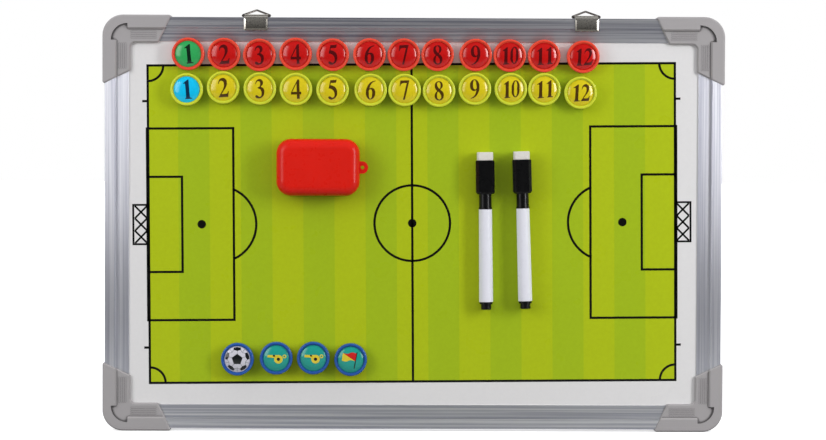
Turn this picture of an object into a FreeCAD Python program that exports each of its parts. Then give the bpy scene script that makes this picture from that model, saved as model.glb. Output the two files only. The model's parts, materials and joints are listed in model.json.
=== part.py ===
import FreeCAD, Part
import math
import os
import re
import Sketcher

# A wall-hung magnetic tactics board. X runs right, Y runs back to the wall, Z runs up.
# The origin is the middle of the wall plane, which the backs of the corner caps touch.

SIZES = {
    # aluminium frame
    "frame_width": 447.0,
    "frame_height": 298.0,
    "rail_face": 17.3,
    "rail_band": 7.6,
    "rail_wall": 1.2,
    "rail_back_lip": 13.0,
    "rail_round": 0.8,
    "band_step": 1.8,
    "lip_edge": 0.9,
    "lip_rise": 0.9,
    "rail_inset": 20.5,
    # panel held in the rails
    "sheet_thickness": 0.4,
    "core_thickness": 7.8,
    "backing_thickness": 0.4,
    "panel_gap": 0.2,
    # corner caps
    "cap_wall": 1.2,
    "cap_side": 1.5,
    "cap_lap": 1.2,
    "cap_leg": 50.2,
    "cap_slant": 10.0,
    "cap_corner": 15.0,
    "cap_window_round": 3.8,
    "cap_edge_round": 1.4,
    "cap_step_slope": 1.2,
    "cap_rim_slope": 1.0,
    "cap_scoop_margin": 6.2,
    "cap_scoop_round": 11.5,
    "cap_scoop_flat": 0.5,
    "cap_fit": 0.1,
    "tongue_length": 20.0,
    "tongue_fit": 0.2,
    "cap_rib_width": 0.7,
    "cap_rib_height": 0.2,
    "cap_rib_pitch": 1.5,
    "cap_rib_length": 18.5,
    # hanger clips and rings
    "hanger_left": -114.4,
    "hanger_right": 124.8,
    "clip_width": 17.0,
    "clip_sheet": 0.6,
    "clip_fit": 0.1,
    "clip_hook": 1.3,
    "clip_skirt": 1.2,
    "clip_back_leg": 10.0,
    "clip_flank": 1.2,
    "clip_swell": 0.45,
    "wire_diameter": 1.4,
    "wire_fit": 0.15,
    "ring_overhang": 3.7,
    "ring_height": 8.3,
    "ring_bend": 1.0,
    "ring_lean": 54.0,
    # player, ball and official magnets
    "magnet_diameter": 23.6,
    "magnet_height": 7.0,
    "magnet_rim": 1.6,
    "magnet_recess": 1.8,
    "magnet_lift": 0.4,
    "magnet_round": 0.9,
    "disc_diameter": 17.0,
    "disc_height": 3.4,
    "disc_fit": 0.1,
    "dome_groove": 0.35,
    "dome_side": 0.9,
    "dome_rise": 1.7,
    "row_left_share": 0.3013,
    "row_gap": 2.3,
    "column_gap": 1.9,
    "lip_overlap": 2.6,
    "rest_clearance": 0.15,
    "officials_inset": 79.2,
    "officials_gap": 3.7,
    "officials_rise": 33.8,
    # eraser
    "eraser_inset": 137.2,
    "eraser_drop": 90.9,
    "eraser_width": 60.0,
    "eraser_height": 41.0,
    "eraser_corner": 10.5,
    "eraser_depth": 14.0,
    "eraser_wall": 2.3,
    "eraser_crown": 7.0,
    "felt_thickness": 6.0,
    "felt_seat": 1.5,
    "felt_fit": 0.3,
    "bar_length": 40.0,
    "bar_width": 8.0,
    "bar_thickness": 4.0,
    "bar_spacing": 18.0,
    "lug_reach": 6.0,
    "lug_width": 9.0,
    "lug_thickness": 4.0,
    "lug_hole_diameter": 2.6,
    "lug_rim": 3.0,
    # marker pens
    "pen_left_x": 51.9,
    "pen_left_z": 11.0,
    "pen_left_tilt": 0.7,
    "pen_right_x": 79.0,
    "pen_right_z": 11.7,
    "pen_right_tilt": 1.75,
    "pen_cap_width": 13.4,
    "pen_cap_depth": 12.0,
    "pen_cap_length": 24.3,
    "pen_cap_bevel": 2.0,
    "pen_cap_shoulder": 1.2,
    "sleeve_diameter": 9.0,
    "sleeve_length": 10.8,
    "sleeve_bead": 0.35,
    "snout_diameter": 6.6,
    "snout_length": 15.0,
    "snout_fit": 0.15,
    "nose_length": 5.0,
    "nose_diameter": 4.2,
    "nib_diameter": 2.8,
    "nib_fit": 0.05,
    "nib_reach": 4.0,
    "nib_room": 2.5,
    "barrel_top_diameter": 9.5,
    "barrel_end_diameter": 10.2,
    "barrel_length": 67.2,
    "barrel_edge_round": 0.4,
    "barrel_bore_diameter": 7.2,
    "barrel_front_wall": 2.0,
    "core_fit": 0.1,
    "plug_spigot_diameter": 8.0,
    "plug_depth": 6.0,
    "plug_fit": 0.05,
    "plug_flange_diameter": 9.4,
    "plug_flange_length": 1.7,
    "plug_knob_diameter": 7.4,
    "plug_knob_length": 3.9,
    "tip_width": 11.6,
    "tip_depth": 10.6,
    "tip_length": 6.1,
    "tip_bevel": 1.6,
    "tip_stem": 4.0,
    "tip_stem_inset": 0.9,
    "tip_fit": 0.1,
    "pen_magnet_width": 8.0,
    "pen_magnet_length": 12.0,
    "pen_magnet_thickness": 1.8,
    "pen_magnet_fit": 0.1,
}

# Sizes that follow from the driving ones, as formulas of their names.
DERIVED = {
    "panel_thickness": "backing_thickness + core_thickness + sheet_thickness",
    "rail_depth": "rail_wall + panel_thickness + lip_edge + lip_rise + band_step",
    "panel_inset": "rail_band + panel_gap",
    "panel_width": "frame_width - 2 * panel_inset",
    "panel_height": "frame_height - 2 * panel_inset",
    "window_half_width": "frame_width / 2 - rail_face",
    "window_half_height": "frame_height / 2 - rail_face",
    "panel_back": "cap_wall + rail_wall",
    "sheet_front": "panel_back + panel_thickness",
    "rail_front": "cap_wall + rail_depth",
    "step_front": "rail_front - band_step",
    "cap_band": "cap_side + rail_band + cap_wall",
    "cap_width": "cap_side + rail_face + cap_lap",
    "cap_band_slant": "cap_slant * cap_band / cap_width",
    "cap_block": "cap_side + rail_inset",
    "scoop_side": "cap_scoop_margin + cap_scoop_round + cap_scoop_flat",
    "wire_height": "frame_height / 2 + clip_fit + wire_diameter / 2 + wire_fit",
    "ring_depth": "cap_wall + rail_depth / 2",
    "tunnel_radius": "wire_diameter / 2 + wire_fit",
    "magnet_radius": "magnet_diameter / 2",
    "disc_radius": "disc_diameter / 2",
    "recess_radius": "magnet_radius - magnet_rim",
    "recess_floor": "magnet_height - magnet_recess",
    "dome_radius": "recess_radius - dome_groove",
    "red_height": "window_half_height + lip_overlap - magnet_radius",
    "yellow_height": "red_height - magnet_diameter - column_gap",
    "row_pitch": "magnet_diameter + row_gap",
    "row_length": "11 * row_pitch + magnet_diameter",
    "row_free": "2 * window_half_width - row_length",
    "row_start": "-window_half_width + row_left_share * row_free + magnet_radius",
    "officials_pitch": "magnet_diameter + officials_gap",
    "officials_start": "-window_half_width + officials_inset",
    "officials_height": "-window_half_height + officials_rise",
    "eraser_x": "-window_half_width + eraser_inset",
    "eraser_z": "window_half_height - eraser_drop",
    "eraser_rim": "felt_thickness - felt_seat",
    "pen_axis": "sheet_front + pen_cap_depth / 2",
    "pen_cap_top": "sleeve_length + pen_cap_length",
    "nib_tip": "snout_length + nose_length + nib_reach",
    "bore_radius": "snout_diameter / 2 + snout_fit",
}

# How far each magnet lies from its place in an even row, in millimetres right and up:
# the rows are set out by hand.
RED_SHIFTS = [
    (0.0, 0.1), (0.0, 0.0), (-0.4, -0.5), (-0.2, 0.3), (0.7, -0.1), (1.3, 0.1),
    (0.2, 0.1), (-1.3, 0.1), (0.3, 0.1), (-1.1, -0.2), (-2.1, -0.4), (0.3, -0.9),
]
YELLOW_SHIFTS = [
    (-1.0, -0.4), (-0.6, 1.1), (0.0, 0.4), (0.1, 0.1), (0.7, -0.2), (2.2, -0.2),
    (0.9, -0.2), (-0.2, -0.7), (-0.2, 0.8), (-0.1, 0.7), (-1.8, 0.7), (-1.5, -1.7),
]
OFFICIAL_SHIFTS = {
    "ball_magnet": (-0.2, -0.4),
    "referee_magnet_left": (0.6, 0.4),
    "referee_magnet_right": (0.1, 0.6),
    "flag_magnet": (-0.1, -0.5),
}

V = FreeCAD.Vector
FRONT = V(0, -1, 0)

doc = FreeCAD.newDocument("tactics_board")
sheet = doc.addObject("Spreadsheet::Sheet", "sizes")
for row, (alias, number) in enumerate(SIZES.items(), start=1):
    sheet.set(f"A{row}", alias)
    sheet.set(f"B{row}", str(number))
    sheet.setAlias(f"B{row}", alias)
doc.recompute()

subparts = []


def formula(text):
    """Turns plain size names into references to the sheet, through the derived sizes."""
    def reference(match):
        name = match.group(0)
        if name in DERIVED:
            return "(" + formula(DERIVED[name]) + ")"
        return "sizes." + name if name in SIZES else name
    return re.sub(r"[a-z][a-z_]*", reference, text)


def value(text):
    """The number that a formula gives now."""
    return float(sheet.evalExpression(formula(text)))


def bind(thing, **formulas):
    """Binds properties of an object to formulas, with __ in place of a dot."""
    for name, text in formulas.items():
        thing.setExpression(name.replace("__", "."), formula(text))


def hold_point(sketch, geometry, end, x, y):
    """Fixes a point of a sketch at two formulas."""
    for kind, text, axis in (("DistanceX", x, -2), ("DistanceY", y, -1)):
        if text == "0":
            sketch.addConstraint(Sketcher.Constraint("PointOnObject", geometry, end, axis))
        else:
            number = sketch.addConstraint(
                Sketcher.Constraint(kind, -1, 1, geometry, end, value(text)))
            sketch.setExpression(f"Constraints[{number}]", formula(text))


def hold_radius(sketch, geometry, radius):
    """Fixes the radius of a circle or an arc at a formula."""
    number = sketch.addConstraint(Sketcher.Constraint("Radius", geometry, value(radius)))
    sketch.setExpression(f"Constraints[{number}]", formula(radius))


def draw_circle(sketch, x, y, radius):
    """Draws a circle from formulas."""
    circle = Part.Circle(V(value(x), value(y), 0), V(0, 0, 1), value(radius))
    geometry = sketch.addGeometry(circle)
    hold_point(sketch, geometry, 3, x, y)
    hold_radius(sketch, geometry, radius)


def draw_outline(sketch, corners):
    """Draws a closed outline. A corner is (x, y), or (x, y, radius) where it is rounded."""
    count = len(corners)
    points = [V(value(corner[0]), value(corner[1]), 0) for corner in corners]
    arrivals, departures, centres, left_turns = [], [], [], []
    for index, point in enumerate(points):
        back = (points[index - 1] - point).normalize()
        ahead = (points[(index + 1) % count] - point).normalize()
        radius = value(corners[index][2]) if len(corners[index]) > 2 else 0.0
        half_angle = back.getAngle(ahead) / 2
        reach = radius / math.tan(half_angle)
        arrivals.append(point + back * reach)
        departures.append(point + ahead * reach)
        middle = (back + ahead).normalize() if radius else back
        centres.append(point + middle * (radius / math.sin(half_angle)))
        left_turns.append(back.cross(ahead).z < 0)
    sides = []
    for index in range(count):
        line = Part.LineSegment(departures[index], arrivals[(index + 1) % count])
        sides.append(sketch.addGeometry(line))
    for index, corner in enumerate(corners):
        before, after = sides[index - 1], sides[index]
        if len(corner) == 2:
            sketch.addConstraint(Sketcher.Constraint("Coincident", before, 2, after, 1))
            hold_point(sketch, after, 1, *corner)
            continue
        ends = [arrivals[index], departures[index]]
        if not left_turns[index]:
            ends.reverse()
        first, last = [math.atan2(end.y - centres[index].y, end.x - centres[index].x) for end in ends]
        if last < first:
            last += 2 * math.pi
        circle = Part.Circle(centres[index], V(0, 0, 1), value(corner[2]))
        arc = sketch.addGeometry(Part.ArcOfCircle(circle, first, last))
        start, end = (1, 2) if left_turns[index] else (2, 1)
        sketch.addConstraint(Sketcher.Constraint("Tangent", before, 2, arc, start))
        sketch.addConstraint(Sketcher.Constraint("Tangent", arc, end, after, 1))
        hold_radius(sketch, arc, corner[2])
        vertex = sketch.addGeometry(Part.Point(points[index]), True)
        sketch.addConstraint(Sketcher.Constraint("PointOnObject", vertex, 1, before))
        sketch.addConstraint(Sketcher.Constraint("PointOnObject", vertex, 1, after))
        hold_point(sketch, vertex, 1, corner[0], corner[1])


def new_body(name):
    return doc.addObject("PartDesign::Body", name)


def new_sketch(body, name, plane, offset="0"):
    """Makes a sketch on one of the body's origin planes, moved along its normal."""
    sketch = body.newObject("Sketcher::SketchObject", name)
    origin_plane = [item for item in body.Origin.OriginFeatures if item.Role == plane][0]
    sketch.AttachmentSupport = [(origin_plane, "")]
    sketch.MapMode = "FlatFace"
    if offset != "0":
        bind(sketch, AttachmentOffset__Base__z=offset)
    doc.recompute()
    return sketch


def pad(body, sketch, length, both_sides=False, reverse=False):
    """Pads a sketch along its normal: XZ sketches grow to the front."""
    feature = body.newObject("PartDesign::Pad", sketch.Name + "_pad")
    feature.Profile = sketch
    bind(feature, Length=length)
    feature.SideType = "Symmetric" if both_sides else "One side"
    feature.Reversed = reverse
    doc.recompute()
    return feature


def pocket(body, sketch, length, reverse=False):
    """Cuts a sketch into the body against its normal, and makes sure that it cut."""
    before = body.Shape.Volume
    feature = body.newObject("PartDesign::Pocket", sketch.Name + "_cut")
    feature.Profile = sketch
    bind(feature, Length=length)
    feature.Reversed = reverse
    doc.recompute()
    if not feature.Shape.Volume < before - 1e-6:
        raise RuntimeError(f"{feature.Name} cuts nothing")
    return feature


def dress(body, base, kind, keep, **sizes):
    """Works the edges of the body's last feature that keep(edge) picks."""
    names = [f"Edge{index}" for index, edge in enumerate(base.Shape.Edges, start=1) if keep(edge)]
    if not names:
        raise RuntimeError(f"{base.Name} has no such edge")
    feature = body.newObject("PartDesign::" + kind, base.Name + "_" + kind.lower())
    feature.Base = (base, names)
    bind(feature, **sizes)
    doc.recompute()
    return feature


def fillet(body, base, radius, keep):
    return dress(body, base, "Fillet", keep, Radius=radius)


def chamfer(body, base, size, keep):
    return dress(body, base, "Chamfer", keep, Size=size)


def revolve(name, plane, corners):
    """Makes a body turned about the sketch's vertical axis."""
    body = new_body(name)
    sketch = new_sketch(body, name + "_profile", plane)
    draw_outline(sketch, corners)
    feature = body.newObject("PartDesign::Revolution", name + "_turned")
    feature.Profile = sketch
    feature.ReferenceAxis = (sketch, ["V_Axis"])
    feature.Angle = 360
    doc.recompute()
    return body


def box(name, x, y, z, width, depth, height):
    """A block whose corner and sides are formulas."""
    block = doc.addObject("Part::Box", name)
    bind(block, Length=width, Width=depth, Height=height)
    bind(block, Placement__Base__x=x, Placement__Base__y=y, Placement__Base__z=z)
    return block


def set_out(label, pieces, x, y, z, axis=V(0, 1, 0), angle=0.0):
    """Places a copy of some master pieces as one sub-part, turned and then moved."""
    group = doc.addObject("Part::Compound", label)
    group.Label = label
    group.Links = pieces
    group.Placement = FreeCAD.Placement(V(), FreeCAD.Rotation(axis, angle))
    bind(group, Placement__Base__x=x, Placement__Base__y=y, Placement__Base__z=z)
    subparts.append(group)
    return group


def round_rectangle(width, height, radius):
    """Corners of a rectangle about the sketch's origin."""
    half_width, half_height = f"({width}) / 2", f"({height}) / 2"
    return [
        (f"-{half_width}", f"-{half_height}", radius),
        (half_width, f"-{half_height}", radius),
        (half_width, half_height, radius),
        (f"-{half_width}", half_height, radius),
    ]


def bevelled_rectangle(width, height, bevel):
    """Corners of a rectangle about the sketch's origin with its corners cut off."""
    corners = []
    for side_x, side_y in ((-1, -1), (1, -1), (1, 1), (-1, 1)):
        long_x, long_y = f"{side_x} * ({width}) / 2", f"{side_y} * ({height}) / 2"
        short_x, short_y = f"{long_x} - {side_x} * ({bevel})", f"{long_y} - {side_y} * ({bevel})"
        pair = [(long_x, short_y), (short_x, long_y)]
        corners += pair if side_x == side_y else pair[::-1]
    return corners


def make_panel():
    """The printed steel sheet, the core and the backing, stacked in the rails' channels."""
    layers = (
        ("backing_sheet", "panel_back", "backing_thickness"),
        ("core_board", "panel_back + backing_thickness", "core_thickness"),
        ("writing_sheet", "panel_back + backing_thickness + core_thickness", "sheet_thickness"),
    )
    for label, back, thickness in layers:
        layer = box(label, "-(panel_width) / 2", f"-({back}) - {thickness}", "-(panel_height) / 2",
                    "panel_width", thickness, "panel_height")
        subparts.append(layer)


def make_rail(name, length):
    """An extrusion with a hollow outer band, a channel for the panel and a thin front lip."""
    body = new_body(name)
    sketch = new_sketch(body, name + "_section", "YZ_Plane")
    draw_outline(sketch, [
        ("-cap_wall", "0", "0.4 * rail_round"),
        ("-rail_front", "0", "rail_round"),
        ("-rail_front", "-rail_band", "0.2 * rail_round"),
        ("-step_front", "-rail_band"),
        ("-sheet_front - lip_edge", "-rail_face", "0.3 * lip_edge"),
        ("-sheet_front", "-rail_face"),
        ("-sheet_front", "-rail_band"),
        ("-panel_back", "-rail_band"),
        ("-panel_back", "-rail_back_lip"),
        ("-cap_wall", "-rail_back_lip", "0.3 * rail_wall"),
    ])
    draw_outline(sketch, [
        ("-cap_wall - rail_wall", "-rail_wall"),
        ("-rail_front + rail_wall", "-rail_wall", "0.5 * rail_round"),
        ("-rail_front + rail_wall", "-rail_band + rail_wall"),
        ("-cap_wall - rail_wall", "-rail_band + rail_wall"),
    ])
    pad(body, sketch, length, both_sides=True)
    return body


def make_rails():
    long_rail = make_rail("long_rail", "frame_width - 2 * rail_inset")
    short_rail = make_rail("short_rail", "frame_height - 2 * rail_inset")
    set_out("rail_top", [long_rail], "0", "0", "frame_height / 2")
    set_out("rail_right", [short_rail], "frame_width / 2", "0", "0", angle=90)
    set_out("rail_bottom", [long_rail], "0", "0", "-frame_height / 2", angle=180)
    set_out("rail_left", [short_rail], "-frame_width / 2", "0", "0", angle=270)


def make_corner_cap():
    """One moulding, drawn as the top right corner with its outer corner at the origin."""
    body = new_body("corner_cap")
    footprint = new_sketch(body, "cap_footprint", "XZ_Plane")
    draw_outline(footprint, [
        ("0", "0", "cap_corner"),
        ("-cap_leg", "0", "cap_edge_round"),
        ("-cap_leg + cap_slant", "-cap_width", "cap_edge_round"),
        ("-cap_width", "-cap_width", "cap_window_round"),
        ("-cap_width", "-cap_leg + cap_slant", "cap_edge_round"),
        ("0", "-cap_leg", "cap_edge_round"),
    ])
    pad(body, footprint, "step_front + cap_wall")
    # The raised band steps out round a quarter-round scoop at the corner.
    band = new_sketch(body, "cap_raised_band", "XZ_Plane")
    draw_outline(band, [
        ("0", "0", "cap_corner"),
        ("-cap_leg", "0", "cap_edge_round"),
        ("-cap_leg + cap_band_slant", "-cap_band"),
        ("-scoop_side", "-cap_band"),
        ("-scoop_side", "-cap_scoop_margin"),
        ("-cap_scoop_margin", "-cap_scoop_margin", "cap_scoop_round"),
        ("-cap_scoop_margin", "-scoop_side"),
        ("-cap_band", "-scoop_side"),
        ("-cap_band", "-cap_leg + cap_band_slant"),
        ("0", "-cap_leg", "cap_edge_round"),
    ])
    raised = pad(body, band, "rail_front + cap_wall")
    outside = value("cap_corner") * (1 - math.sqrt(0.5)) + 0.1
    step, window = value("cap_band"), value("cap_width")

    def middle_on_front(edge, depth):
        if abs(edge.BoundBox.YMin + value(depth)) > 1e-4 or edge.BoundBox.YLength > 1e-4:
            return None
        return edge.valueAt((edge.FirstParameter + edge.LastParameter) / 2)

    def on_front_rim(edge):
        middle = middle_on_front(edge, "rail_front + cap_wall")
        return middle is not None and (
            min(-middle.x, -middle.z) < 0.01 or max(-middle.x, -middle.z) < outside)

    def on_step(edge):
        middle = middle_on_front(edge, "rail_front + cap_wall")
        across = min(edge.BoundBox.XLength, edge.BoundBox.ZLength)
        return middle is not None and across < 1e-4 and abs(min(-middle.x, -middle.z) - step) < 0.01

    def on_window_rim(edge):
        middle = middle_on_front(edge, "step_front + cap_wall")
        return middle is not None and min(-middle.x, -middle.z) > window - 0.01

    rounded = fillet(body, raised, "cap_edge_round", on_front_rim)
    stepped = chamfer(body, rounded, "cap_step_slope", on_step)
    chamfer(body, stepped, "cap_rim_slope", on_window_rim)
    # Room for the two rails, which end at the corner block, and for the panel's corner.
    rail_room = [
        ("-cap_wall + cap_fit", "-cap_side + cap_fit"),
        ("-rail_front - cap_fit", "-cap_side + cap_fit"),
        ("-rail_front - cap_fit", "-cap_side - rail_band - cap_fit"),
        ("-step_front - cap_fit", "-cap_side - rail_band - cap_fit"),
        ("-step_front - cap_fit", "-cap_side - rail_face - cap_fit"),
        ("-cap_wall + cap_fit", "-cap_side - rail_face - cap_fit"),
    ]
    level = new_sketch(body, "cap_level_room", "YZ_Plane", "-cap_block + cap_fit")
    draw_outline(level, rail_room)
    pocket(body, level, "cap_leg")
    upright = new_sketch(body, "cap_upright_room", "XY_Plane", "-cap_block + cap_fit")
    draw_outline(upright, [(across, depth) for depth, across in rail_room])
    pocket(body, upright, "cap_leg")
    near, far = "-cap_side - panel_inset + cap_fit", "-cap_leg - cap_width"
    panel_room = new_sketch(body, "cap_panel_room", "XZ_Plane", "sheet_front + cap_fit")
    draw_outline(panel_room, [(far, far), (near, far), (near, near), (far, near)])
    pocket(body, panel_room, "panel_thickness + 2 * cap_fit")
    # Tongues that push into the hollow bands of the rails.
    tongue = [
        ("-cap_wall - rail_wall - tongue_fit", "-cap_side - rail_wall - tongue_fit"),
        ("-rail_front + rail_wall + tongue_fit", "-cap_side - rail_wall - tongue_fit", "0.5 * rail_round"),
        ("-rail_front + rail_wall + tongue_fit", "-cap_side - rail_band + rail_wall + tongue_fit"),
        ("-cap_wall - rail_wall - tongue_fit", "-cap_side - rail_band + rail_wall + tongue_fit"),
    ]
    level_tongue = new_sketch(body, "cap_level_tongue", "YZ_Plane", "-cap_block + rail_wall")
    draw_outline(level_tongue, tongue)
    pad(body, level_tongue, "tongue_length + rail_wall", reverse=True)
    upright_tongue = new_sketch(body, "cap_upright_tongue", "XY_Plane", "-cap_block + rail_wall")
    draw_outline(upright_tongue, [(corner[1], corner[0], *corner[2:]) for corner in tongue])
    pad(body, upright_tongue, "tongue_length + rail_wall", reverse=True)
    # Grip ribs on the lower inner band of both legs.
    ribs = new_sketch(body, "cap_ribs", "XZ_Plane", "step_front + 0.5 * cap_wall")
    for number in range(4):
        start = f"-cap_band - {number + 1} * cap_rib_pitch"
        far_side = f"{start} - cap_rib_width"
        along = "-cap_width - 0.5 * cap_rib_width"
        reach = f"{along} - cap_rib_length"
        draw_outline(ribs, [(reach, far_side), (along, far_side), (along, start), (reach, start)])
        draw_outline(ribs, [(far_side, reach), (start, reach), (start, along), (far_side, along)])
    pad(body, ribs, "0.5 * cap_wall + cap_rib_height")
    return body


def make_corner_caps():
    cap = make_corner_cap()
    across, up = "frame_width / 2 + cap_side", "frame_height / 2 + cap_side"
    set_out("corner_cap_top_right", [cap], across, "0", up)
    set_out("corner_cap_bottom_right", [cap], across, "0", f"-({up})", angle=90)
    set_out("corner_cap_bottom_left", [cap], f"-({across})", "0", f"-({up})", angle=180)
    set_out("corner_cap_top_left", [cap], f"-({across})", "0", up, angle=270)


def make_hanger_clip():
    """Spring sheet bent over the top rail, arched over the ring's bar, hooked under the band."""
    body = new_body("hanger_clip")
    inner_front, outer_front = "-rail_front - clip_fit", "-rail_front - clip_fit - clip_sheet"
    inner_back, outer_back = "-cap_wall + clip_fit", "-cap_wall + clip_fit + clip_sheet"
    inner_top, outer_top = "frame_height / 2 + clip_fit", "frame_height / 2 + clip_fit + clip_sheet"
    under_band, hook_low = "frame_height / 2 - rail_band - clip_fit", (
        "frame_height / 2 - rail_band - clip_fit - clip_sheet")
    skirt_low = f"{hook_low} - clip_skirt"
    foot = "frame_height / 2 - clip_back_leg"
    arch_front, arch_back = "-ring_depth - tunnel_radius", "-ring_depth + tunnel_radius"
    arch_top = "wire_height + tunnel_radius"
    strap = new_sketch(body, "clip_strap", "YZ_Plane")
    draw_outline(strap, [
        (outer_front, skirt_low, "0.5 * clip_sheet"),
        (outer_front, outer_top, "2 * clip_sheet"),
        (f"{arch_front} - clip_sheet", outer_top),
        (f"{arch_front} - clip_sheet", f"{arch_top} + clip_sheet", "0.9 * tunnel_radius + clip_sheet"),
        (f"{arch_back} + clip_sheet", f"{arch_top} + clip_sheet", "0.9 * tunnel_radius + clip_sheet"),
        (f"{arch_back} + clip_sheet", outer_top),
        (outer_back, outer_top, "1.6 * clip_sheet"),
        (outer_back, foot),
        (inner_back, foot),
        (inner_back, inner_top, "0.6 * clip_sheet"),
        (arch_back, inner_top),
        (arch_back, arch_top, "0.9 * tunnel_radius"),
        (arch_front, arch_top, "0.9 * tunnel_radius"),
        (arch_front, inner_top),
        (inner_front, inner_top, "clip_sheet"),
        (inner_front, under_band),
        (f"{inner_front} + clip_hook", under_band),
        (f"{inner_front} + clip_hook", hook_low),
        (inner_front, hook_low),
        (inner_front, skirt_low),
    ])
    pad(body, strap, "clip_width", both_sides=True)
    # The front leg swells out between four sloping flanks.
    low, high = f"{skirt_low} + 0.5 * clip_sheet", f"{outer_top} - 2 * clip_sheet"
    levels = []
    for name, inset, reach in (("clip_swell_foot", "0", "0"), ("clip_swell_top", "clip_flank", "clip_swell")):
        level = new_sketch(body, name, "XZ_Plane", f"-({outer_front}) + {reach}")
        half = f"clip_width / 2 - {inset}"
        draw_outline(level, [
            (f"-({half})", f"{low} + {inset}"),
            (half, f"{low} + {inset}"),
            (half, f"{high} - {inset}"),
            (f"-({half})", f"{high} - {inset}"),
        ])
        levels.append(level)
    swell = body.newObject("PartDesign::AdditiveLoft", "clip_swell")
    swell.Profile = levels[0]
    swell.Sections = levels[1:]
    swell.Ruled = True
    doc.recompute()
    return body


def make_hanger_ring():
    """A triangular wire ring whose bar lies on the X axis, with its tip up."""
    body = new_body("hanger_ring")
    half = "(clip_width / 2 + ring_overhang)"
    path = new_sketch(body, "ring_path", "XZ_Plane")
    draw_outline(path, [
        (f"-{half}", "0", "ring_bend"),
        (half, "0", "ring_bend"),
        ("0", "ring_height", "ring_bend"),
    ])
    section = new_sketch(body, "ring_section", "YZ_Plane")
    draw_circle(section, "0", "0", "wire_diameter / 2")
    sweep = body.newObject("PartDesign::AdditivePipe", "ring_wire")
    sweep.Profile = section
    sweep.Spine = (path, [])
    doc.recompute()
    return body


def make_hangers():
    clip, ring = make_hanger_clip(), make_hanger_ring()
    for side in ("left", "right"):
        set_out(f"hanger_clip_{side}", [clip], f"hanger_{side}", "0", "0")
        set_out(f"hanger_ring_{side}", [ring], f"hanger_{side}", "-ring_depth", "wire_height",
                axis=V(1, 0, 0), angle=-value("ring_lean"))


def make_magnet():
    """A rimmed case, a ferrite disc in its foot and a clear dome, turned about the Y axis."""
    case = revolve("magnet_case", "XY_Plane", [
        ("disc_radius + disc_fit", "-magnet_lift"),
        ("magnet_radius", "-magnet_lift", "0.3 * magnet_round"),
        ("magnet_radius", "-magnet_height", "magnet_round"),
        ("recess_radius", "-magnet_height", "0.6 * (magnet_rim - magnet_round)"),
        ("recess_radius", "-recess_floor"),
        ("0", "-recess_floor"),
        ("0", "-disc_height"),
        ("disc_radius + disc_fit", "-disc_height"),
    ])
    disc = revolve("magnet_disc", "XY_Plane", [
        ("0", "0"),
        ("disc_radius", "0", "0.2 * disc_height"),
        ("disc_radius", "-disc_height"),
        ("0", "-disc_height"),
    ])
    # The dome is a slice of a ball over a short straight side.
    ball_radius = "((dome_radius) * (dome_radius) + dome_rise * dome_rise) / (2 * dome_rise)"
    ball = doc.addObject("Part::Sphere", "dome_ball")
    bind(ball, Radius=ball_radius,
         Placement__Base__y=f"-recess_floor - dome_side - dome_rise + {ball_radius}")
    post = doc.addObject("Part::Cylinder", "dome_post")
    post.Placement = FreeCAD.Placement(V(), FreeCAD.Rotation(V(0, 0, 1), FRONT))
    bind(post, Radius="dome_radius", Height="dome_side + 2 * dome_rise", Placement__Base__y="-recess_floor")
    dome = doc.addObject("Part::Common", "magnet_dome")
    dome.Base = post
    dome.Tool = ball
    doc.recompute()
    return [case, disc, dome]


def make_magnets():
    """The red row leans on the top rail's lip; the other magnets lie flat on the sheet."""
    pieces = make_magnet()
    lip_slope = value("lip_rise / (rail_face - rail_band)")
    rise = value("lip_edge + rest_clearance - magnet_lift") + value("lip_overlap") * lip_slope
    lean = math.atan2(rise, value("disc_radius + magnet_radius"))
    # The disc's lower edge stays just off the sheet, so the middle of the foot stands off it.
    stand_off = f"rest_clearance / 2 + {math.sin(lean):.6f} * disc_radius"
    for number, (right, up) in enumerate(RED_SHIFTS, start=1):
        set_out(f"red_magnet_{number:02d}", pieces, f"row_start + {number - 1} * row_pitch + {right}",
                f"-sheet_front - ({stand_off})", f"red_height + {up}",
                axis=V(1, 0, 0), angle=math.degrees(lean))
    for number, (right, up) in enumerate(YELLOW_SHIFTS, start=1):
        set_out(f"yellow_magnet_{number:02d}", pieces, f"row_start + {number - 1} * row_pitch + {right}",
                "-sheet_front", f"yellow_height + {up}")
    for number, (label, (right, up)) in enumerate(OFFICIAL_SHIFTS.items()):
        set_out(label, pieces, f"officials_start + {number} * officials_pitch + {right}",
                "-sheet_front", f"officials_height + {up}")


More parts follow.
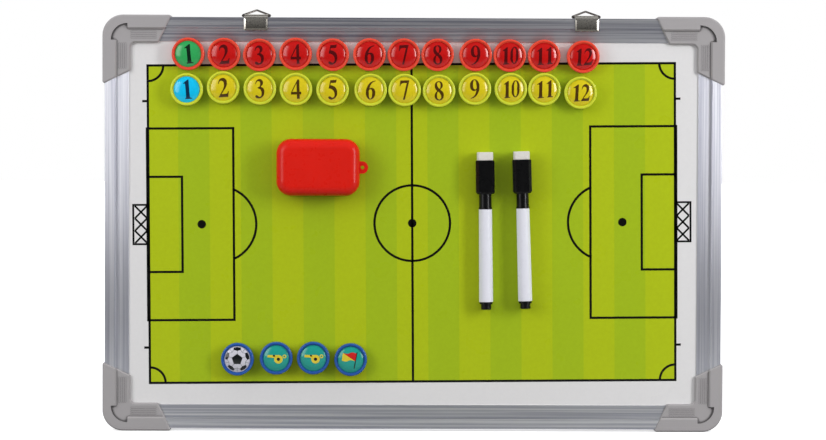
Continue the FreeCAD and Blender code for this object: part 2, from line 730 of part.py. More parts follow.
def make_eraser():
    """A moulded shell with a cord lug, a felt pad in its mouth and two bar magnets behind it."""
    shell = new_body("eraser_moulding")
    outline = new_sketch(shell, "eraser_outline", "XZ_Plane", "eraser_rim")
    draw_outline(outline, round_rectangle("eraser_width", "eraser_height", "eraser_corner"))
    block = pad(shell, outline, "eraser_depth")
    front = -value("eraser_rim + eraser_depth")
    fillet(shell, block, "eraser_crown",
           lambda edge: edge.BoundBox.YMin < front + 1e-4 and edge.BoundBox.YLength < 1e-4)
    hollow = new_sketch(shell, "eraser_hollow", "XZ_Plane", "eraser_rim")
    draw_outline(hollow, round_rectangle("eraser_width - 2 * eraser_wall", "eraser_height - 2 * eraser_wall",
                                         "eraser_corner - eraser_wall"))
    hollowed = pocket(shell, hollow, "eraser_depth - eraser_wall", reverse=True)
    roof = front + value("eraser_wall")
    fillet(shell, hollowed, "eraser_crown - eraser_wall",
           lambda edge: abs(edge.BoundBox.YMin - roof) < 1e-4 and edge.BoundBox.YLength < 1e-4)
    lug_back = "eraser_rim + lug_rim"
    lug = new_sketch(shell, "eraser_lug", "XZ_Plane", lug_back)
    root, tip = "eraser_width / 2 - 0.5 * eraser_wall", "eraser_width / 2 + lug_reach"
    draw_outline(lug, [
        (root, "-lug_width / 2"),
        (tip, "-lug_width / 2", "0.48 * lug_width"),
        (tip, "lug_width / 2", "0.48 * lug_width"),
        (root, "lug_width / 2"),
    ])
    pad(shell, lug, "lug_thickness")
    hole = new_sketch(shell, "eraser_lug_hole", "XZ_Plane", lug_back)
    draw_circle(hole, f"{tip} - 0.5 * lug_width + 0.2 * lug_hole_diameter", "0", "lug_hole_diameter / 2")
    pocket(shell, hole, "lug_thickness", reverse=True)
    felt = new_body("eraser_pad")
    felt_outline = new_sketch(felt, "felt_outline", "XZ_Plane")
    draw_outline(felt_outline, round_rectangle(
        "eraser_width - 2 * eraser_wall - 2 * felt_fit", "eraser_height - 2 * eraser_wall - 2 * felt_fit",
        "eraser_corner - eraser_wall - felt_fit"))
    pad(felt, felt_outline, "felt_thickness")
    bars = []
    for name, height in (("eraser_bar_low", "-bar_spacing / 2"), ("eraser_bar_high", "bar_spacing / 2")):
        corner = ("-bar_length / 2", "-felt_thickness - bar_thickness", f"{height} - bar_width / 2")
        bars.append(box(name, *corner, "bar_length", "bar_thickness", "bar_width"))
    place = ("eraser_x", "-sheet_front", "eraser_z")
    set_out("eraser_shell", [shell], *place)
    set_out("eraser_felt", [felt], *place)
    set_out("eraser_magnets", bars, *place)


def make_pen_cap():
    """A bevelled block over a round sleeve, with seats for the felt tip and the magnet."""
    body = new_body("pen_cap")
    block = new_sketch(body, "pen_cap_block", "XY_Plane", "sleeve_length")
    draw_outline(block, bevelled_rectangle("pen_cap_width", "pen_cap_depth", "pen_cap_bevel"))
    moulded = pad(body, block, "pen_cap_length")
    low = value("sleeve_length")
    chamfer(body, moulded, "pen_cap_shoulder", lambda edge: edge.BoundBox.ZMax < low + 1e-4)
    sleeve = new_sketch(body, "pen_cap_sleeve", "XY_Plane")
    draw_circle(sleeve, "0", "0", "sleeve_diameter / 2")
    pad(body, sleeve, "sleeve_length")
    bead = new_sketch(body, "pen_cap_bead", "XY_Plane")
    draw_circle(bead, "0", "0", "sleeve_diameter / 2 + sleeve_bead")
    pad(body, bead, "4 * sleeve_bead")
    bore = new_sketch(body, "pen_cap_bore", "XY_Plane")
    draw_circle(bore, "0", "0", "bore_radius")
    pocket(body, bore, "nib_tip + nib_room", reverse=True)
    seat = new_sketch(body, "pen_cap_tip_seat", "XY_Plane", "pen_cap_top")
    draw_outline(seat, bevelled_rectangle("tip_width - 2 * tip_stem_inset", "tip_depth - 2 * tip_stem_inset",
                                          "tip_bevel"))
    pocket(body, seat, "tip_stem + tip_fit")
    magnet_seat = new_sketch(body, "pen_cap_magnet_seat", "XZ_Plane", "-pen_cap_depth / 2")
    half, middle = "pen_magnet_width / 2 + pen_magnet_fit", "sleeve_length + pen_cap_length / 2"
    low = f"{middle} - pen_magnet_length / 2 - pen_magnet_fit"
    high = f"{middle} + pen_magnet_length / 2 + pen_magnet_fit"
    draw_outline(magnet_seat, [(f"-({half})", low), (half, low), (half, high), (f"-({half})", high)])
    pocket(body, magnet_seat, "pen_magnet_thickness", reverse=True)
    magnet = box("pen_magnet", "-pen_magnet_width / 2", "pen_cap_depth / 2 - pen_magnet_thickness",
                 f"{middle} - pen_magnet_length / 2", "pen_magnet_width", "pen_magnet_thickness",
                 "pen_magnet_length")
    return body, magnet


def make_pen_tip():
    """The felt block on top of the cap, with a stem in the cap's seat."""
    body = new_body("pen_tip")
    block = new_sketch(body, "pen_tip_block", "XY_Plane", "pen_cap_top")
    draw_outline(block, bevelled_rectangle("tip_width", "tip_depth", "tip_bevel"))
    pad(body, block, "tip_length")
    stem = new_sketch(body, "pen_tip_stem", "XY_Plane", "pen_cap_top")
    draw_outline(stem, bevelled_rectangle("tip_width - 2 * tip_stem_inset - 2 * tip_fit",
                                          "tip_depth - 2 * tip_stem_inset - 2 * tip_fit", "tip_bevel"))
    pad(body, stem, "tip_stem", reverse=True)
    return body


def make_pen_barrel():
    """The tapered barrel with its snout, and the nib, ink core and end plug that go into it."""
    bore_end = "-barrel_length + plug_depth"
    barrel = revolve("pen_barrel", "XZ_Plane", [
        ("nib_diameter / 2 + nib_fit", "snout_length + nose_length"),
        ("nose_diameter / 2", "snout_length + nose_length"),
        ("snout_diameter / 2", "snout_length"),
        ("snout_diameter / 2", "0"),
        ("barrel_top_diameter / 2", "0", "barrel_edge_round"),
        ("barrel_end_diameter / 2", "-barrel_length", "barrel_edge_round"),
        ("plug_spigot_diameter / 2 + plug_fit", "-barrel_length"),
        ("plug_spigot_diameter / 2 + plug_fit", bore_end),
        ("barrel_bore_diameter / 2", bore_end),
        ("barrel_bore_diameter / 2", "-barrel_front_wall"),
        ("nib_diameter / 2 + nib_fit", "-barrel_front_wall"),
    ])
    core_top = "-barrel_front_wall - core_fit"
    nib = revolve("pen_nib", "XZ_Plane", [
        ("0", core_top),
        ("nib_diameter / 2", core_top),
        ("nib_diameter / 2", "nib_tip", "0.35 * nib_diameter"),
        ("0", "nib_tip"),
    ])
    core = revolve("pen_core", "XZ_Plane", [
        ("0", f"{bore_end} + core_fit"),
        ("barrel_bore_diameter / 2 - core_fit", f"{bore_end} + core_fit"),
        ("barrel_bore_diameter / 2 - core_fit", core_top),
        ("0", core_top),
    ])
    flange_end = "-barrel_length - plug_flange_length"
    knob_end = f"{flange_end} - plug_knob_length"
    plug = revolve("pen_plug", "XZ_Plane", [
        ("0", bore_end),
        ("plug_spigot_diameter / 2", bore_end),
        ("plug_spigot_diameter / 2", "-barrel_length"),
        ("plug_flange_diameter / 2", "-barrel_length", "0.2 * plug_flange_length"),
        ("plug_flange_diameter / 2", flange_end, "0.2 * plug_flange_length"),
        ("plug_knob_diameter / 2", flange_end),
        ("plug_knob_diameter / 2", knob_end, "0.2 * plug_knob_length"),
        ("0", knob_end),
    ])
    return barrel, nib, core, plug


def make_pens():
    cap, magnet = make_pen_cap()
    tip = make_pen_tip()
    barrel, nib, core, plug = make_pen_barrel()
    pieces = {
        "cap": cap, "cap_felt": tip, "cap_magnet": magnet,
        "barrel": barrel, "nib": nib, "ink_core": core, "end_plug": plug,
    }
    for side in ("left", "right"):
        for name, piece in pieces.items():
            set_out(f"marker_{side}_{name}", [piece], f"pen_{side}_x", "-pen_axis", f"pen_{side}_z",
                    angle=-value(f"pen_{side}_tilt"))


def export():
    """Checks every object and every sub-part, then writes the STEP files."""
    doc.recompute()
    for item in doc.Objects:
        if "Invalid" in item.State or "Error" in item.State:
            raise RuntimeError(f"{item.Name} failed: {item.State}")
    os.makedirs("parts", exist_ok=True)
    for item in subparts:
        if item.Shape.isNull() or not item.Shape.isValid() or not item.Shape.Solids:
            raise RuntimeError(f"{item.Label} has no valid solid")
    for item in subparts:
        item.Shape.exportStep(os.path.join("parts", item.Label + ".step"))
    print(f"{len(subparts)} sub-parts written")


make_panel()
make_rails()
make_corner_caps()
make_hangers()
make_magnets()
make_eraser()
make_pens()
export()
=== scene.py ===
import bpy
import json
import math
from mathutils import Matrix, Vector

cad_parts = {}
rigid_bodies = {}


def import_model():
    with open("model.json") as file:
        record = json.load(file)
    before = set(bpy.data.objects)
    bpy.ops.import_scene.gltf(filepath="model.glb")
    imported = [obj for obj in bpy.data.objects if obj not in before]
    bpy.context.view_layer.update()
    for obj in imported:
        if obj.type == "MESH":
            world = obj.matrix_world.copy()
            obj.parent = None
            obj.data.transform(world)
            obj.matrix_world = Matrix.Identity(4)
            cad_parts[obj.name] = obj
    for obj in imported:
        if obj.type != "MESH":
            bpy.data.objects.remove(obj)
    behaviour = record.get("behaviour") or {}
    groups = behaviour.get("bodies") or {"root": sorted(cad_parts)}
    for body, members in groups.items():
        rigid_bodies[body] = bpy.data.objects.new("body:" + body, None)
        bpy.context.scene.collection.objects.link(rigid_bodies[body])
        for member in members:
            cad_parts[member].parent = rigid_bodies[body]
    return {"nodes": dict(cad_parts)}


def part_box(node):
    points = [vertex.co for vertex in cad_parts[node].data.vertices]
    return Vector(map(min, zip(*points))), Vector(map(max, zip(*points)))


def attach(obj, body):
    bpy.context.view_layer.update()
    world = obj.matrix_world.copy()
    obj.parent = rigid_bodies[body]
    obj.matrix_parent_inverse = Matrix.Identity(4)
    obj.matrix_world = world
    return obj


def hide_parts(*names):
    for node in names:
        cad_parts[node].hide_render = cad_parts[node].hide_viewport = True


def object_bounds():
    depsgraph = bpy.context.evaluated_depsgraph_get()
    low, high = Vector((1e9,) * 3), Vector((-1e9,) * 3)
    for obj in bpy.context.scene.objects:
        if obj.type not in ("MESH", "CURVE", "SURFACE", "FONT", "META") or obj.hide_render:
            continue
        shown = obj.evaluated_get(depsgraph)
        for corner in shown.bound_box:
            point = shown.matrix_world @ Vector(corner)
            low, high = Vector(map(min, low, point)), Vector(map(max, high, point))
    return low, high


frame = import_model()
cadBox = [list(corner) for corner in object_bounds()]
nodes = frame["nodes"]
mm = 0.001
faceFront = (math.pi / 2, 0, 0)      # turns a flat primitive so that it looks out of the board


def paint(red, green, blue):         # a colour as a picture program shows it, 0 to 255
    linear = []
    for level in (red, green, blue):
        share = level / 255
        linear.append(share / 12.92 if share <= 0.04045 else ((share + 0.055) / 1.055) ** 2.4)
    return (*linear, 1.0)


def clearPick():
    if bpy.context.object and bpy.context.object.mode != "OBJECT":
        bpy.ops.object.mode_set(mode="OBJECT")
    bpy.ops.object.select_all(action="DESELECT")


def pickPiece(piece):
    clearPick()
    piece.select_set(True)
    bpy.context.view_layer.objects.active = piece


def named(name):
    piece = bpy.context.object
    piece.name = name
    piece.data.name = name
    return piece


def pickFaces(piece, wanted):        # leaves edit mode on, with the wanted faces picked
    bpy.ops.object.mode_set(mode="EDIT")
    bpy.ops.mesh.select_mode(type="FACE")
    bpy.ops.mesh.select_all(action="DESELECT")
    bpy.ops.object.mode_set(mode="OBJECT")
    for face in piece.data.polygons:
        face.select = wanted(face)
    bpy.ops.object.mode_set(mode="EDIT")


def pickEdges(piece, wanted):        # wanted gets the two end points of an edge
    bpy.ops.object.mode_set(mode="EDIT")
    bpy.ops.mesh.select_mode(type="EDGE")
    bpy.ops.mesh.select_all(action="DESELECT")
    bpy.ops.object.mode_set(mode="OBJECT")
    points = piece.data.vertices
    for edge in piece.data.edges:
        edge.select = wanted(points[edge.vertices[0]].co, points[edge.vertices[1]].co)
    bpy.ops.object.mode_set(mode="EDIT")


def push(x, y, z):
    bpy.ops.mesh.extrude_region_move(TRANSFORM_OT_translate={"value": (x, y, z)})


def settle():                        # puts the place of the picked piece into its mesh
    bpy.ops.object.transform_apply(location=True, rotation=True, scale=True)


def finishWith(piece, kind, **settings):
    pickPiece(piece)
    modifier = piece.modifiers.new(kind.title(), kind)
    for name, setting in settings.items():
        setattr(modifier, name, setting)
    bpy.ops.object.modifier_apply(modifier=modifier.name)


def smooth(piece, degrees):
    pickPiece(piece)
    bpy.ops.object.shade_smooth_by_angle(angle=math.radians(degrees))


def outward(piece):
    pickPiece(piece)
    bpy.ops.object.mode_set(mode="EDIT")
    bpy.ops.mesh.select_all(action="SELECT")
    bpy.ops.mesh.remove_doubles(threshold=1e-7)
    bpy.ops.mesh.normals_make_consistent(inside=False)
    bpy.ops.object.mode_set(mode="OBJECT")


def copyOf(master, name, place):     # a copy with a mesh of its own, set down at its place
    piece = master.copy()
    piece.data = master.data.copy()
    piece.name = piece.data.name = name
    bpy.context.scene.collection.objects.link(piece)
    piece.data.transform(place)
    return piece


def putAway(*masters):
    for master in masters:
        bpy.data.objects.remove(master)


def joinUp(pieces, name):
    clearPick()
    for piece in pieces:
        piece.select_set(True)
    bpy.context.view_layer.objects.active = pieces[0]
    bpy.ops.object.join()
    return named(name)


# Materials. Every pattern is laid out in metres on the object's own coordinates.

class Finish:
    def __init__(self, name, **sockets):
        self.material = bpy.data.materials.new(name)
        self.material.use_nodes = True
        self.tree = self.material.node_tree
        self.shader = self.tree.nodes["Principled BSDF"]
        for socket, setting in sockets.items():
            self.shader.inputs[socket.replace("_", " ")].default_value = setting
        coords = self.tree.nodes.new("ShaderNodeTexCoord")
        self.place = coords.outputs["Object"]

    def node(self, kind, inputs=(), **settings):
        made = self.tree.nodes.new(kind)
        for name, setting in settings.items():
            setattr(made, name, setting)
        for socket, source in dict(inputs).items():
            if isinstance(source, bpy.types.NodeSocket):
                self.tree.links.new(source, made.inputs[socket])
            else:
                made.inputs[socket].default_value = source
        return made

    def noise(self, scale, detail=3.0, rough=0.55, stretch=(1, 1, 1)):
        place = self.node("ShaderNodeMapping", {"Vector": self.place, "Scale": stretch})
        found = self.node("ShaderNodeTexNoise", {
            "Vector": place.outputs[0], "Scale": scale, "Detail": detail, "Roughness": rough})
        return found.outputs[0]

    def spread(self, value, low, high, start=0.3, stop=0.7):
        found = self.node("ShaderNodeMapRange", {
            "Value": value, "From Min": start, "From Max": stop, "To Min": low, "To Max": high})
        return found.outputs[0]

    def between(self, share, first, second):
        found = self.node("ShaderNodeMix", data_type="RGBA")
        self.tree.links.new(share, found.inputs[0])
        found.inputs[6].default_value = first
        found.inputs[7].default_value = second
        return found.outputs[2]

    def feed(self, socket, source):
        self.tree.links.new(source, self.shader.inputs[socket])

    def bump(self, height, distance, strength=1.0, under=None):
        inputs = {"Height": height, "Distance": distance, "Strength": strength}
        if under is not None:
            inputs["Normal"] = under
        return self.node("ShaderNodeBump", inputs).outputs[0]


def tone(colour, share):             # the same colour, lighter or darker
    return (*[min(1.0, level * share) for level in colour[:3]], 1.0)


def mouldedPlastic(name, colour, gloss, grain, grainDepth, coat=0.0, vary=0.05):
    finish = Finish(name, Roughness=gloss, Specular_IOR_Level=0.22, Coat_Weight=coat, Coat_Roughness=0.1)
    flow = finish.noise(22, 4)
    finish.feed("Base Color", finish.between(
        finish.spread(flow, 0, 1), tone(colour, 1 - vary), tone(colour, 1 + vary)))
    finish.feed("Roughness", finish.spread(finish.noise(260, 5), gloss * 0.8, gloss * 1.25))
    finish.feed("Normal", finish.bump(finish.noise(grain, 2), grainDepth))
    return finish


def creased(finish, colour, deep):   # painted shade: darker in the inner corners of the moulding, where shade falls
    hollow = finish.node("ShaderNodeAmbientOcclusion", {"Distance": 0.0025}, samples=12, only_local=True)
    share = finish.spread(hollow.outputs["AO"], 0, 1, 0.66, 0.9)
    finish.feed("Base Color", finish.between(share, deep, colour))
    return finish


def extrudedAluminium(name, upright, deep, pale, rough, streaked):
    drawn = 0.006                    # the grain runs along the rail
    stretch = (1, 1, drawn) if upright else (drawn, 1, 1)
    finish = Finish(name, Metallic=1.0, Roughness=rough, Anisotropic=streaked)
    lines = finish.noise(1900, 4, 0.65, stretch)
    bands = finish.noise(420, 3, 0.6, stretch)
    tints = finish.noise(700, 3, 0.6, stretch)
    finish.feed("Base Color", finish.between(finish.spread(tints, 0, 1, 0.36, 0.64), deep, pale))
    finish.feed("Roughness", finish.spread(bands, rough - 0.04, rough + 0.04))
    across = finish.node("ShaderNodeCombineXYZ", {"X": 1.0 if upright else 0.0, "Z": 0.0 if upright else 1.0})
    finish.feed("Tangent", across.outputs[0])
    ridges = finish.bump(bands, 0.00012, 0.8)
    finish.feed("Normal", finish.bump(lines, 0.00003, 0.7, ridges))
    return finish.material


def platedSteel(name, deep, pale, rough, highlightRise=None):
    finish = Finish(name, Metallic=1.0, Roughness=rough)
    pits = finish.noise(900, 3)
    if highlightRise:                         # painted highlight: paler towards its upper edge
        height = finish.node("ShaderNodeSeparateXYZ", {0: finish.place}).outputs["Z"]
        share = finish.spread(height, 0, 1, *highlightRise)
    else:
        share = finish.spread(finish.noise(120, 4), 0, 1)
    finish.feed("Base Color", finish.between(share, deep, pale))
    finish.feed("Roughness", finish.spread(pits, rough - 0.06, rough + 0.06))
    finish.feed("Normal", finish.bump(pits, 0.00003, 0.5))
    return finish.material


def galvanised(name):
    finish = Finish(name, Metallic=0.85, Roughness=0.42)
    flakes = finish.node("ShaderNodeTexVoronoi", {"Vector": finish.place, "Scale": 210.0})
    tint = finish.node("ShaderNodeSeparateColor", {"Color": flakes.outputs["Color"]}).outputs[0]
    finish.feed("Base Color", finish.between(
        finish.spread(tint, 0, 1, 0, 1), paint(182, 187, 192), paint(214, 218, 222)))
    finish.feed("Roughness", finish.spread(tint, 0.34, 0.52, 0, 1))
    finish.feed("Normal", finish.bump(finish.noise(700, 3), 0.00003, 0.4))
    return finish.material


def glossyPrint(name, colour, vary=0.03):
    finish = Finish(name, Roughness=0.3, Specular_IOR_Level=0.12, Coat_Weight=0.06, Coat_Roughness=0.2)
    ink = finish.noise(420, 4, 0.6)
    finish.feed("Base Color", finish.between(
        finish.spread(ink, 0, 1), tone(colour, 1 - vary), tone(colour, 1 + vary)))
    finish.feed("Roughness", finish.spread(finish.noise(60, 3), 0.26, 0.36))
    finish.feed("Normal", finish.bump(finish.noise(900, 2), 0.000012, 0.5))
    return finish.material


def pressedFelt(name, pale, deep):
    finish = Finish(name, Roughness=0.95, Sheen_Weight=0.5, Sheen_Roughness=0.6)
    fibre = finish.noise(2600, 6, 0.75)
    tufts = finish.noise(520, 4, 0.6)
    finish.feed("Base Color", finish.between(finish.spread(fibre, 0, 1), deep, pale))
    finish.feed("Roughness", finish.spread(tufts, 0.85, 1.0))
    finish.feed("Normal", finish.bump(fibre, 0.00025, 0.9, finish.bump(tufts, 0.0005, 0.6)))
    return finish.material


def clearDome(name, colour):         # a print under a thick clear lens
    finish = Finish(name, Roughness=0.5, Specular_IOR_Level=0.0, Coat_Weight=0.9, Coat_Roughness=0.14)
    ink = finish.noise(700, 3)
    finish.feed("Base Color", finish.between(
        finish.spread(ink, 0, 1), tone(colour, 0.95), tone(colour, 1.05)))
    return finish.material


def dullFibre(name, pale, deep, scale):
    finish = Finish(name, Roughness=0.9)
    flecks = finish.noise(scale, 6, 0.7)
    finish.feed("Base Color", finish.between(finish.spread(flecks, 0, 1), deep, pale))
    finish.feed("Normal", finish.bump(flecks, 0.0002, 0.6))
    return finish.material


sheetWhite = glossyPrint("sheet_white", paint(229, 227, 227), vary=0.012)
# one aluminium in three painted tones: painted shade darkens the head rail, the foot rail is painted lighter
# and the uprights palest, as lit
railHeadShaded = extrudedAluminium(
    "rail_aluminium_head_shaded", False, paint(158, 159, 174), paint(226, 226, 231), rough=0.5, streaked=0.5)
railFootLit = extrudedAluminium(
    "rail_aluminium_foot_lit", False, paint(184, 185, 197), paint(231, 231, 235), rough=0.5, streaked=0.5)
railUprightLit = extrudedAluminium(
    "rail_aluminium_upright_lit", True, paint(200, 201, 214), paint(240, 240, 247), rough=0.41, streaked=0.98)
capTone = paint(169, 165, 166)
capPlastic = mouldedPlastic("cap_grey", capTone, gloss=0.42, grain=2200, grainDepth=0.00005)
# the cap grey, with painted shade in its inner corners
capGrey = creased(capPlastic, capTone, tone(capTone, 0.36)).material
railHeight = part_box("rail_top")[1].z
# the span of the clip's painted highlight: its top 8 mm turn paler
clipHighlightSpan = (railHeight - 8 * mm, railHeight)
clipSteel = platedSteel("clip_steel", paint(140, 135, 127), paint(232, 226, 216), rough=0.3, highlightRise=clipHighlightSpan)
ringSteel = platedSteel("ring_steel", paint(70, 64, 62), paint(112, 106, 102), rough=0.2)
zinc = galvanised("backing_zinc")
coreFibre = dullFibre("core_fibre", paint(150, 118, 82), paint(112, 84, 56), scale=900)
eraserRed = mouldedPlastic(
    "eraser_red", paint(226, 27, 13), gloss=0.3, grain=900, grainDepth=0.00003, coat=0.08).material
markerBlack = mouldedPlastic(
    "marker_black", paint(8, 8, 9), gloss=0.3, grain=1200, grainDepth=0.00003, coat=0.1, vary=0.2).material
markerWhite = mouldedPlastic(
    "marker_white", paint(234, 234, 243), gloss=0.3, grain=500, grainDepth=0.00002,
    coat=0.1, vary=0.015).material
ferrite = dullFibre("ferrite", paint(58, 57, 58), paint(36, 36, 38), scale=1500)
inkFibre = dullFibre("ink_fibre", paint(60, 60, 66), paint(26, 26, 30), scale=2400)
feltWhite = pressedFelt("felt_white", paint(240, 236, 229), paint(214, 208, 198))
feltGrey = pressedFelt("felt_grey", paint(128, 126, 124), paint(84, 83, 82))
print("materials done")

nodeFinish = {
    "writing_sheet": sheetWhite, "core_board": coreFibre, "backing_sheet": zinc,
    "rail_top": railHeadShaded, "rail_bottom": railFootLit,
    "rail_left": railUprightLit, "rail_right": railUprightLit,
    "eraser_shell": eraserRed, "eraser_magnets": ferrite,
}
for corner in ("top_left", "top_right", "bottom_left", "bottom_right"):
    nodeFinish["corner_cap_" + corner] = capGrey
for side in ("left", "right"):
    nodeFinish["hanger_clip_" + side] = clipSteel
    nodeFinish["hanger_ring_" + side] = ringSteel
    nodeFinish[f"marker_{side}_cap"] = markerBlack
    nodeFinish[f"marker_{side}_end_plug"] = markerBlack
    nodeFinish[f"marker_{side}_barrel"] = markerWhite
    nodeFinish[f"marker_{side}_nib"] = inkFibre
    nodeFinish[f"marker_{side}_ink_core"] = inkFibre
    nodeFinish[f"marker_{side}_cap_magnet"] = ferrite
for name, finish in nodeFinish.items():
    for slot in nodes[name].material_slots:
        slot.material = finish
print("solid parts have their finish")


# The printed pitch, in millimetres from the middle of the print, as thin layers of ink.

pitch = {
    "length": 383.6, "height": 231.9, "stripes": 17, "middle": (-0.9, 0.5), "turn": 0.49,
    "line": 1.7, "layer": 0.03, "circle": 27.4, "dot": 3.1,
    "penaltyDepth": 62.4, "penaltyHeight": 139.0, "goalDepth": 25.1, "goalHeight": 69.0,
    "spot": 39.2, "arc": 27.6, "arcCentre": 51.1, "corner": 11.3, "tick": 3.2, "tickPlace": 26.6,
    "netDepth": 11.2, "netHeight": 28.5, "netLine": 1.4, "netSpan": 8.9, "netTwine": 1.35,
    "pale": paint(179, 196, 27), "deep": paint(165, 190, 31), "ink": paint(14, 14, 13),
}
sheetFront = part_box("writing_sheet")[0].y


def flatPlate(x, z, width, height, turn=0.0):
    clearPick()
    bpy.ops.mesh.primitive_plane_add(size=1, location=(x * mm, 0, z * mm), rotation=(math.pi / 2, -turn, 0))
    bpy.context.object.scale = (width * mm, height * mm, 1)
    settle()
    return bpy.context.object


def hollowOut(piece, line):          # leaves the outer border of a flat face, one line wide
    pickFaces(piece, lambda face: True)
    bpy.ops.mesh.inset(thickness=line * mm, use_even_offset=True)
    bpy.ops.mesh.delete(type="FACE")
    bpy.ops.object.mode_set(mode="OBJECT")
    return piece


def lineBox(x, z, width, height, line=pitch["line"]):
    return hollowOut(flatPlate(x, z, width + line, height + line), line)


def disc(x, z, radius, points=72):
    clearPick()
    bpy.ops.mesh.primitive_circle_add(vertices=points, radius=radius * mm, fill_type="NGON",
                                      location=(x * mm, 0, z * mm), rotation=faceFront)
    settle()
    return bpy.context.object


def lineRing(x, z, radius, points=144):
    return hollowOut(disc(x, z, radius + pitch["line"] / 2, points), pitch["line"])


def cutAway(piece, x, z, normal):    # drops what lies on the side that normal points to
    pickFaces(piece, lambda face: True)
    bpy.ops.mesh.bisect(plane_co=(x * mm, 0, z * mm), plane_no=normal, clear_outer=True)
    bpy.ops.object.mode_set(mode="OBJECT")
    return piece


def layOn(piece, level):             # thickens flat ink and sets it on the sheet, turned as printed
    finishWith(piece, "SOLIDIFY", thickness=pitch["layer"] * mm, offset=1.0)
    x, z = pitch["middle"]
    turn = Matrix.Rotation(-math.radians(pitch["turn"]), 4, "Y")
    piece.data.transform(Matrix.Translation((x * mm, sheetFront - level * mm, z * mm)) @ turn)
    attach(piece, "board")


clearPick()
bpy.ops.mesh.primitive_grid_add(x_subdivisions=pitch["stripes"], y_subdivisions=1, size=1, rotation=faceFront)
grass = named("pitch_stripes")
grass.scale = (pitch["length"] * mm, pitch["height"] * mm, 1)
settle()
grass.data.materials.append(glossyPrint("stripe_pale", pitch["pale"]))
grass.data.materials.append(glossyPrint("stripe_deep", pitch["deep"]))
stripeWidth = pitch["length"] * mm / pitch["stripes"]
pickFaces(grass, lambda face: int((face.center.x + pitch["length"] * mm / 2) / stripeWidth) % 2 == 1)
grass.active_material_index = 1
bpy.ops.object.material_slot_assign()
bpy.ops.object.mode_set(mode="OBJECT")
layOn(grass, 0.0)

line = pitch["line"]
halfLength, halfHeight = pitch["length"] / 2, pitch["height"] / 2
ink = [
    lineBox(0, 0, pitch["length"] - line, pitch["height"] - line),
    flatPlate(0, 0, line, pitch["height"] - 2 * line),
    lineRing(0, 0, pitch["circle"]),
    disc(0, 0, pitch["dot"]),
]
for end in (-1, 1):
    goalLine = end * halfLength
    for area in ("penalty", "goal"):
        areaDepth, areaHeight = pitch[area + "Depth"], pitch[area + "Height"]
        ink.append(lineBox(goalLine - end * areaDepth / 2, 0, areaDepth, areaHeight))
    ink.append(disc(goalLine - end * pitch["spot"], 0, pitch["dot"]))
    arc = lineRing(goalLine - end * pitch["arcCentre"], 0, pitch["arc"])
    ink.append(cutAway(arc, goalLine - end * pitch["penaltyDepth"], 0, (end, 0, 0)))
    netMiddle = goalLine + end * (pitch["netDepth"] - line) / 2
    ink.append(lineBox(netMiddle, 0, pitch["netDepth"], pitch["netHeight"], pitch["netLine"]))
    cell = (pitch["netHeight"] - pitch["netLine"]) / 3
    twineLength = math.hypot(pitch["netSpan"], cell)
    twineTurn = math.atan2(cell, pitch["netSpan"])
    for row in (-1, 0, 1):
        for lean in (-1, 1):
            ink.append(flatPlate(netMiddle, row * cell, twineLength, pitch["netTwine"], lean * twineTurn))
    borderX = goalLine - end * line / 2
    for up in (-1, 1):
        borderZ = up * (halfHeight - line / 2)
        quarter = lineRing(borderX, borderZ, pitch["corner"], 96)
        cutAway(quarter, borderX, 0, (end, 0, 0))
        ink.append(cutAway(quarter, 0, borderZ, (0, 0, up)))
        tickZ = up * (halfHeight - pitch["tickPlace"])
        ink.append(flatPlate(goalLine + end * pitch["tick"] / 2, tickZ, pitch["tick"], line))
lines = joinUp(ink, "pitch_lines")
lines.data.materials.clear()
lines.data.materials.append(glossyPrint("line_black", pitch["ink"], vary=0.1))
layOn(lines, pitch["layer"])
print("pitch printed")


# The magnets: one case and one dome, turned out once and copied to every place.

magnet = {
    "radius": 11.8, "foot": 0.4, "height": 7.0, "sides": 96, "edge": 0.9, "footEdge": 0.27,
    "rim": 1.6, "innerEdge": 0.42, "recess": 1.8, "ledge": 0.6, "ledgeDepth": 0.8,
    "discRadius": 8.5, "discTaper": 0.96,
    "domeRadius": 9.45, "domeSide": 0.5, "domeRise": 2.1, "domePower": 2.7, "domeRings": 22, "domeSweep": 88,
    "lean": 2.514, "leanLift": 0.448, "ink": 0.035, "inkStep": 0.012, "inkAhead": 20,
}
caseGloss = {"gloss": 0.26, "grain": 1100, "grainDepth": 0.00002, "coat": 0.3}
caseRed = mouldedPlastic("magnet_red", paint(240, 78, 54), **caseGloss, vary=0.03).material
caseYellow = mouldedPlastic("magnet_yellow", paint(213, 222, 56), **caseGloss, vary=0.03).material
caseBlue = mouldedPlastic("magnet_blue", paint(38, 90, 172), **caseGloss, vary=0.05).material
domeRed = clearDome("dome_red", paint(203, 18, 16))
domeGold = clearDome("dome_gold", paint(222, 202, 24))
domeGreen = clearDome("dome_green", paint(52, 172, 92))
domeSky = clearDome("dome_sky", paint(10, 198, 248))
domeTeal = clearDome("dome_teal", paint(30, 158, 144))
domeWhite = clearDome("dome_white", paint(212, 210, 220))
inkOnRed = clearDome("ink_on_red", paint(88, 7, 11))
inkOnGold = clearDome("ink_on_gold", paint(78, 53, 8))
inkOnGreen = clearDome("ink_on_green", paint(8, 40, 24))
inkOnSky = clearDome("ink_on_sky", paint(5, 44, 78))
inkDark = clearDome("ink_dark", paint(18, 22, 24))
inkSeam = clearDome("ink_seam", paint(120, 122, 126))
inkSun = clearDome("ink_sun", paint(226, 204, 56))
inkFlame = clearDome("ink_flame", paint(206, 34, 34))


def roundBlank(name, radius, level):     # a flat disc, level in front of the sheet
    clearPick()
    bpy.ops.mesh.primitive_circle_add(vertices=magnet["sides"], radius=radius * mm, fill_type="NGON",
                                      location=(0, -level * mm, 0), rotation=faceFront)
    settle()
    return named(name)


